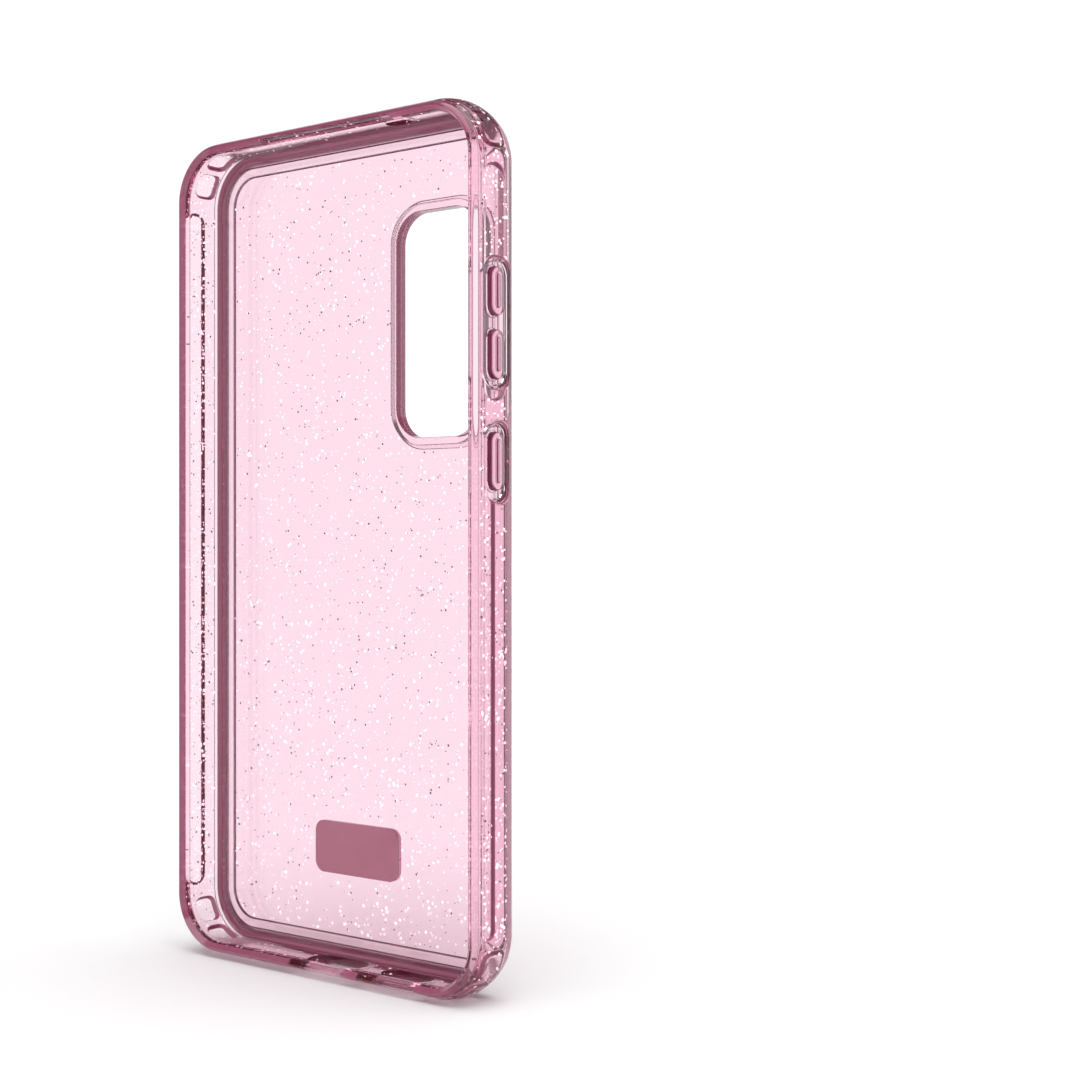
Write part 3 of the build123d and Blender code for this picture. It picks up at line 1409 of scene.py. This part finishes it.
@dataclass
class CameraGuard:
    """The raised collar round the camera window."""

    plan: CasePlan
    ring: float = 2.2
    spigot: float = 0.8
    radius: float = 8.0
    proud: float = 0.7
    front_depth: float = 10.6
    gap: float = 0.03

    def centre(self) -> Point:
        """Middle of the guard, across and up."""
        return node_centre("camera_guard")

    def section(self) -> list[Point]:
        """The collar's section, as insets and depths.

        Returns:
            The points of a closed outline.
        """
        seat, top = self.plan.thickness + self.gap, self.plan.thickness + self.proud
        corners = [
            ((0.0, seat), 0.05),
            ((0.0, top), 0.3),
            ((self.ring, top), 0.35),
            ((self.ring, self.front_depth), 0.2),
            ((self.spigot, self.front_depth), 0.1),
            ((self.spigot, seat), 0.05),
        ]
        outline: list[Point] = []
        for index, (corner, radius) in enumerate(corners):
            before = corners[index - 1][0]
            after = corners[(index + 1) % len(corners)][0]
            outline += rounded_corner(before, corner, after, radius, 5)
        return outline

    def build(self, material: bpy.types.Material) -> bpy.types.Object:
        """Makes the guard.

        Args:
            material: Its finish.

        Returns:
            The dressed piece.
        """
        low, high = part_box("camera_guard")
        path = RingPath(
            centre=self.centre(),
            width=(high.x - low.x) / MM,
            height=(high.z - low.z) / MM,
            radius=self.radius,
            front=self.plan.front,
            corner_steps=28,
            coarse=4.0,
        )
        collar = path.sweep(self.section())
        # shade is painted by the angle off the back, capped at 29 degrees
        mark_shade_angles(collar, lambda _, normal: min(29.0, angle_off(normal, BACKWARDS)))
        guard = as_object("camera_collar", collar)
        return dress(guard, material, "case", ("camera_guard",))


@dataclass
class Badge:
    """The plain raised plaque on the lower back."""

    plan: CasePlan
    radius: float = 2.2
    edge: float = 0.25
    rim: float = 0.7
    dish: float = 0.12

    def centre(self) -> Point:
        """Middle of the badge, across and up."""
        return node_centre("badge")

    def build(self, material: bpy.types.Material) -> bpy.types.Object:
        """Makes the plaque, slightly dished inside a plain rim.

        Args:
            material: Its finish.

        Returns:
            The dressed piece.
        """
        low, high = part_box("badge")
        size = (high - low) / MM
        plate = RoundedPlate(size.x, size.z, self.radius, 10)
        e = self.edge
        stages = [
            (0.0, 0.0),
            (size.y - e, 0.0),
            (size.y - 0.3 * e, -0.3 * e),
            (size.y, -e),
            (size.y, -e - self.rim),
            (size.y - self.dish, -e - self.rim - self.dish),
        ]
        placed = self.plan.back_matrix(*self.centre(), low.y / MM - self.plan.front)
        plaque = as_object("plaque", plate.build(stages, placed))
        return dress(plaque, material, "case", ("badge",))


# ---------------------------------------------------------------- keys


@dataclass(frozen=True)
class Key:
    """A side key: chamfered pad, raised ridge, and a flange inside."""

    node: str
    body: str
    width: float = 3.7
    ridge_width: float = 1.1
    flange: float = 0.4
    flange_thick: float = 0.3
    pad_top: float = 0.35
    ridge_top: float = 0.05
    chamfer: float = 0.3
    clearance: float = 0.15

    def span(self) -> Span:
        """Lowest and highest place of the pad."""
        low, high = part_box(self.node)
        return (low.z / MM + self.flange, high.z / MM - self.flange)

    def hole(self, plan: CasePlan, depth: float) -> BMesh:
        """Shape of the clearance hole round the key.

        Args:
            plan: The case's sizes.
            depth: The key's middle, behind the front lip.

        Returns:
            A closed mesh in millimetres.
        """
        low, high = self.span()
        width = self.width + 2 * self.clearance
        plate = RoundedPlate(high - low + 2 * self.clearance, width, width / 2)
        return plate.build([(0.0, 0.0), (3.0, 0.0)], plan.side_matrix((low + high) / 2, depth, 3.0))

    def build(self, plan: CasePlan, depth: float, material: bpy.types.Material) -> bpy.types.Object:
        """Makes the key.

        Args:
            plan: The case's sizes.
            depth: The key's middle, behind the front lip.
            material: Its finish.

        Returns:
            The dressed piece.
        """
        low, high = self.span()
        foot = plan.width / 2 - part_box(self.node)[0].x / MM
        plate = RoundedPlate(high - low, self.width, self.width / 2, 14)
        top = foot - self.pad_top
        to_ridge = (self.ridge_width - self.width) / 2
        c = self.chamfer
        stages = [
            (0.0, self.flange - 0.08),
            (0.08, self.flange),
            (self.flange_thick - 0.08, self.flange),
            (self.flange_thick, self.flange - 0.08),
            (self.flange_thick + 0.02, 0.0),
            (top - c, 0.0),
            (top - 0.35 * c, -0.25 * c),
            (top, -c),
            (top, to_ridge),
            (foot - self.ridge_top - 0.1, to_ridge - 0.05),
            (foot - self.ridge_top, to_ridge - 0.2),
        ]
        bm = plate.build(stages, plan.side_matrix((low + high) / 2, depth, foot))
        # shade is painted by the angle off sideways
        mark_shade_angles(bm, lambda _, normal: angle_off(normal, SIDEWAYS))
        key = as_object(self.node.replace("_button", "_key"), bm)
        return dress(key, material, self.body, (self.node,))


@dataclass(frozen=True)
class KeyWeb:
    """The thin flexible floor of a key window."""

    node: str
    keys: tuple[Key, ...]

    def build(self, plan: CasePlan, depth: float, material: bpy.types.Material) -> bpy.types.Object:
        """Makes the web, dished towards its keys.

        Args:
            plan: The case's sizes.
            depth: The keys' middle, behind the front lip.
            material: Its finish.

        Returns:
            The dressed piece.
        """
        low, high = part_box(self.node)
        length, width = (high.z - low.z) / MM, (high.y - low.y) / MM
        foot, thick = plan.width / 2 - low.x / MM, (high.x - low.x) / MM
        plate = RoundedPlate(length, width, width / 2, 14)
        stages = [(0.0, 0.0), (thick, 0.0), (thick, -0.35), (thick - 0.18, -0.6)]
        web = plate.build(stages, plan.side_matrix((high.z + low.z) / 2 / MM, depth, foot))
        web = cut(web, [key.hole(plan, depth) for key in self.keys])
        # shade is painted by the angle off sideways, capped at 26 degrees
        mark_shade_angles(web, lambda _, normal: min(26.0, angle_off(normal, SIDEWAYS)))
        floor = as_object(self.node.replace("_button", ""), web)
        return dress(floor, material, "case", (self.node,))


# ---------------------------------------------------------------- glitter


@dataclass
class Glitter:
    """Foil flakes set at random angles inside the plastic. In the wall they keep to its middle depths."""

    plan: CasePlan
    bumper: Bumper
    rng: random.Random
    per_cm2: float = 34.0
    in_wall: float = 2.2  # how much denser the bumper's glitter is
    # the bright flakes are painted glints; their share and sizes
    glint_share: float = 0.72
    glint_size: Span = (0.34, 0.78)
    end_share: float = 0.3  # how much of the sides' glitter the ends and corners have
    dark_size: Span = (0.22, 0.50)
    thickness: float = 0.04
    tilt: float = 35.0  # degrees
    wall_depths: Span = (2.4, 9.6)
    wall_insets: Span = (0.4, 1.85)
    batch: int = 120

    def flake(self) -> bpy.types.Mesh:
        """Makes one flake, a thin hexagon 1 mm across.

        Returns:
            A closed mesh lying on the XY plane.
        """
        bm = bmesh.new()
        bmesh.ops.create_circle(bm, cap_ends=True, segments=6, radius=0.5)
        grown = bmesh.ops.extrude_face_region(bm, geom=list(bm.faces))["geom"]
        bmesh.ops.translate(bm, verts=[item for item in grown if isinstance(item, BMVert)], vec=(0, 0, 1.0))
        bmesh.ops.translate(bm, verts=bm.verts, vec=(0, 0, -0.5))
        bmesh.ops.recalc_face_normals(bm, faces=bm.faces)
        mesh = bpy.data.meshes.new("flake")
        bm.to_mesh(mesh)
        bm.free()
        return mesh

    def _scatter(
        self, name: str, places: list[FlakePlace], room: float, material: bpy.types.Material
    ) -> bpy.types.Object:
        """Puts a flake at each place.

        Args:
            name: The piece's name.
            places: Each flake's middle and the direction that it roughly faces.
            room: How much plastic there is either side of a middle.
            material: The foil.

        Returns:
            The dressed piece.
        """
        master = self.flake()
        batches = [places[index : index + self.batch] for index in range(0, len(places), self.batch)]
        bm = joined([self._batch(batch, room, master) for batch in batches])
        bpy.data.meshes.remove(master)
        return dress(as_object(name, bm, 20.0), material, "case")

    def _batch(self, places: list[FlakePlace], room: float, master: bpy.types.Mesh) -> BMesh:
        """Copies the flake to a few places.

        Args:
            places: Each flake's middle and the direction that it roughly faces.
            room: How much plastic there is either side of a middle.
            master: The flake.

        Returns:
            The flakes, each with its own shade, which paints a glint on the bright ones.
        """
        rng = self.rng
        bm = bmesh.new()
        layer = bm.verts.layers.float.new(FLAKE_GLINT_LAYER)
        for middle, facing in places:
            # a bright flake is a painted glint, a dark one a grey speck
            bright = rng.random() < self.glint_share
            low, high = self.glint_size if bright else self.dark_size
            size = low + (high - low) * rng.random() ** 2
            glint_level = rng.uniform(0.6, 1.0) if bright else rng.uniform(0.0, 0.4)
            lean = math.radians(self.tilt) * rng.random() * min(1.0, room / (size / 2))
            about = Vector((rng.gauss(0, 1), rng.gauss(0, 1), rng.gauss(0, 1))).normalized()
            turn = Matrix.Rotation(lean, 4, about) @ facing.to_track_quat("Z", "Y").to_matrix().to_4x4()
            spin = Matrix.Rotation(rng.uniform(0, math.tau), 4, "Z")
            shape = Matrix.Diagonal((size, size * rng.uniform(0.75, 1.0), self.thickness, 1.0))
            before = len(bm.verts)
            bm.from_mesh(master)
            bm.verts.ensure_lookup_table()
            fresh = bm.verts[before:]
            bmesh.ops.transform(bm, matrix=Matrix.Translation(middle) @ turn @ spin @ shape, verts=fresh)
            for vert in fresh:
                vert[layer] = glint_level
        return bm

    def in_bumper(self, material: bpy.types.Material) -> bpy.types.Object:
        """Scatters flakes through the bumper's wall.

        Args:
            material: The foil.

        Returns:
            The dressed piece.
        """
        plan, rng = self.plan, self.rng
        core_x, core_z = plan.width / 2 - plan.corner, plan.height / 2 - plan.corner
        straight = 4 * (core_x + core_z)
        round_part = math.tau * plan.corner
        area_cm2 = (straight + round_part) * WALL_BAND / 100
        places = []
        for _ in range(round(area_cm2 * self.per_cm2 * self.in_wall)):
            around = rng.uniform(0, straight + round_part)
            depth = rng.uniform(*self.wall_depths)
            on_path, outwards = self._walk(around, core_x, core_z)
            on_side = abs(outwards.x) > 0.99
            if not on_side and rng.random() > self.end_share:
                continue
            shallow = self.bumper.crown_inset(depth) + self.wall_insets[0]
            inset = shallow + (self.wall_insets[1] - shallow) * rng.random() ** 1.5
            if on_side:
                along = on_path.y + plan.height / 2
                inset = max(inset, self.bumper.outer_inset(outwards.x > 0, along, depth) + 0.3)
                if outwards.x > 0 and any(w.distance(along, depth) < 0.6 for w in self.bumper.windows):
                    continue
            if inset > self.wall_insets[1] + 0.1:
                continue
            spot = on_path - outwards * inset
            if self._in_port(spot, depth):
                continue
            middle = Vector((spot.x, plan.front + depth, spot.y + plan.height / 2))
            places.append((middle, Vector((outwards.x, 0.0, outwards.y))))
        return self._scatter("glitter_bumper", places, 0.2, material)

    def _walk(self, around: float, core_x: float, core_z: float) -> tuple[Vector, Vector]:
        """Finds a place on the case's outline.

        Args:
            around: Distance along the outline from the lower right.
            core_x: Half of the straight run across.
            core_z: Half of the straight run up.

        Returns:
            The place, from the case's middle, and the outward direction.
        """
        corner = self.plan.corner
        quarter = math.pi / 2 * corner
        runs = ((2 * core_z, 0.0), (2 * core_x, 90.0), (2 * core_z, 180.0), (2 * core_x, 270.0))
        centres = ((core_x, core_z), (-core_x, core_z), (-core_x, -core_z), (core_x, -core_z))
        for (run, angle), centre in zip(runs, centres):
            heading = math.radians(angle)
            outwards = Vector((math.cos(heading), math.sin(heading)))
            forwards = Vector((-outwards.y, outwards.x))
            if around < run:
                return Vector(centre) + outwards * corner - forwards * (run - around), outwards
            around -= run
            if around < quarter:
                heading += around / corner
                outwards = Vector((math.cos(heading), math.sin(heading)))
                return Vector(centre) + outwards * corner, outwards
            around -= quarter
        return Vector((core_x + corner, -core_z)), Vector((1.0, 0.0))

    def _in_port(self, spot: Vector, depth: float) -> bool:
        """Whether a place is inside or beside a port.

        Args:
            spot: The place, from the case's middle.
            depth: Its depth behind the front lip.

        Returns:
            True where there is no room for a flake.
        """
        for port in PORTS:
            on_edge = spot.y > 0 if port.edge is Edge.TOP else spot.y < 0
            near = abs(spot.y) > self.plan.height / 2 - self.plan.corner
            region = Slot(
                (port.across - port.length / 2, port.across + port.length / 2),
                (port.depth - port.height / 2, port.depth + port.height / 2),
            )
            if on_edge and near and region.distance(spot.x, depth) < 0.95:
                return True
        return spot.y > self.plan.height / 2 - 4.0 and depth < 2.6 and -18.0 < spot.x < 22.0

    def in_panel(
        self, panel: BackPanel, guard: Point, badge: Point, material: bpy.types.Material
    ) -> bpy.types.Object:
        """Scatters flakes through the back panel.

        Args:
            panel: The panel.
            guard: Middle of the camera opening, across and up.
            badge: Middle of the badge, across and up.
            material: The foil.

        Returns:
            The dressed piece.
        """
        plan, rng = self.plan, self.rng
        edge = panel.edges[1] + 0.6
        low_x, high_x = edge - plan.width / 2, plan.width / 2 - edge
        low_z, high_z = edge, plan.height - edge
        radius = plan.corner - edge
        outline = Slot((low_z, high_z), (low_x, high_x), radius)
        window = Slot(
            (guard[1] - panel.opening[1] / 2, guard[1] + panel.opening[1] / 2),
            (guard[0] - panel.opening[0] / 2, guard[0] + panel.opening[0] / 2),
            panel.opening[2],
        )
        half_x, half_z = panel.badge_pocket[0] / 2 + 0.15, panel.badge_pocket[1] / 2 + 0.1
        plaque = Slot((badge[1] - half_z, badge[1] + half_z), (badge[0] - half_x, badge[0] + half_x), 2.0)
        area_cm2 = (high_x - low_x) * (high_z - low_z) / 100
        places = []
        for _ in range(round(area_cm2 * self.per_cm2)):
            x, z = rng.uniform(low_x, high_x), rng.uniform(low_z, high_z)
            depth = rng.uniform(panel.front_depth + 0.3, plan.thickness - 0.3)
            if outline.distance(z, x) > 0 or window.distance(z, x) < 0.6 or plaque.distance(z, x) < 0.6:
                continue
            places.append((Vector((x, plan.front + depth, z)), Vector((0.0, -1.0, 0.0))))
        return self._scatter("glitter_panel", places, 0.25, material)


# ---------------------------------------------------------------- studio


@dataclass
class Studio:
    """The pale floor, the soft light and the camera."""

    floor_size: float = 6.0
    horizon: float = 1.08
    overhead: float = 0.17
    sun_power: float = 2.75
    sun_spread: float = 70.0
    lens: float = 59.34
    azimuth: float = 38.21
    camera_place: tuple[float, float, float] = (0.2414, -0.2443, 0.0831)

    def floor(self) -> None:
        """Lays the floor."""
        bm = bmesh.new()
        bmesh.ops.create_grid(bm, x_segments=8, y_segments=8, size=self.floor_size / MM)
        floor = as_object("studio_floor", bm)
        floor.data.materials.append(PAPER.material())

    def world(self) -> None:
        """Surrounds the case with soft light, white along the horizon and dark overhead."""
        world = bpy.data.worlds.new("studio")
        world.use_nodes = True
        bpy.context.scene.world = world
        shader = Shader(world.node_tree)
        way = shader.node("ShaderNodeTexCoord", output="Generated")
        up = shader.node("ShaderNodeSeparateXYZ", None, {0: way}, "Z")
        white = (self.horizon, self.horizon, self.horizon, 1.0)
        grey = (self.overhead, self.overhead, self.overhead, 1.0)
        colour = shader.blend(up.between(0.33, 0.5), white, grey)
        light = shader.node("ShaderNodeBackground", None, {"Color": colour, "Strength": 1.0})
        shader.node("ShaderNodeOutputWorld", None, {"Surface": light})

    def overhead_light(self) -> None:
        """Hangs one broad soft light over the case, a little to its front right."""
        lamp = bpy.data.lights.new("soft_overhead", "SUN")
        lamp.energy = self.sun_power
        lamp.angle = math.radians(self.sun_spread)
        holder = bpy.data.objects.new("soft_overhead", lamp)
        holder.rotation_euler = Vector((-0.18, 0.12, -1.0)).to_track_quat("-Z", "Y").to_euler()
        bpy.context.scene.collection.objects.link(holder)

    def camera(self) -> None:
        """Places the camera level, looking at the case from its front right."""
        camera = bpy.data.cameras.new("camera")
        camera.lens = self.lens
        camera.sensor_width = 36.0
        camera.clip_start = 0.01
        holder = bpy.data.objects.new("camera", camera)
        turn = math.radians(self.azimuth)
        ahead = Vector((-math.sin(turn), math.cos(turn), 0.0))
        holder.location = self.camera_place
        holder.rotation_euler = ahead.to_track_quat("-Z", "Y").to_euler()
        bpy.context.scene.collection.objects.link(holder)
        bpy.context.scene.camera = holder

    def build(self) -> None:
        """Sets up the whole studio."""
        self.floor()
        self.world()
        self.overhead_light()
        self.camera()
        bpy.context.scene.view_settings.view_transform = "Standard"
        bpy.context.scene.cycles.max_bounces = 24
        bpy.context.scene.cycles.transmission_bounces = 24
        bpy.context.scene.cycles.transparent_max_bounces = 16
        log.info("studio: floor, world, light and camera")


# ---------------------------------------------------------------- assembly


def main() -> None:
    """Builds the case piece by piece, then its studio."""
    logging.basicConfig(level=logging.INFO, format="%(name)s: %(message)s")
    plan = CasePlan.from_frame()
    flexible, hard, foil = FLEXIBLE_PINK.material(), HARD_PINK.material(), FOIL.material()
    soft_key = KEY_PINK.material()
    bumper = Bumper(plan)
    bumper.build(flexible)
    guard, badge, panel = CameraGuard(plan), Badge(plan), BackPanel(plan)
    panel.build(hard, guard.centre(), badge.centre())
    guard.build(flexible)
    badge.build(BADGE_PINK.material())
    volume_up = Key("volume_up_button", "volume_up")
    volume_down = Key("volume_down_button", "volume_down")
    power = Key("power_button", "power")
    for key in (volume_up, volume_down, power):
        key.build(plan, bumper.key_depth, soft_key)
    for web in (KeyWeb("volume_button_web", (volume_up, volume_down)), KeyWeb("power_button_web", (power,))):
        web.build(plan, bumper.key_depth, soft_key)
    glitter = Glitter(plan, bumper, random.Random(SEED))
    glitter.in_bumper(foil)
    glitter.in_panel(panel, guard.centre(), badge.centre(), foil)
    Studio().build()


if __name__ == "__main__":
    main()
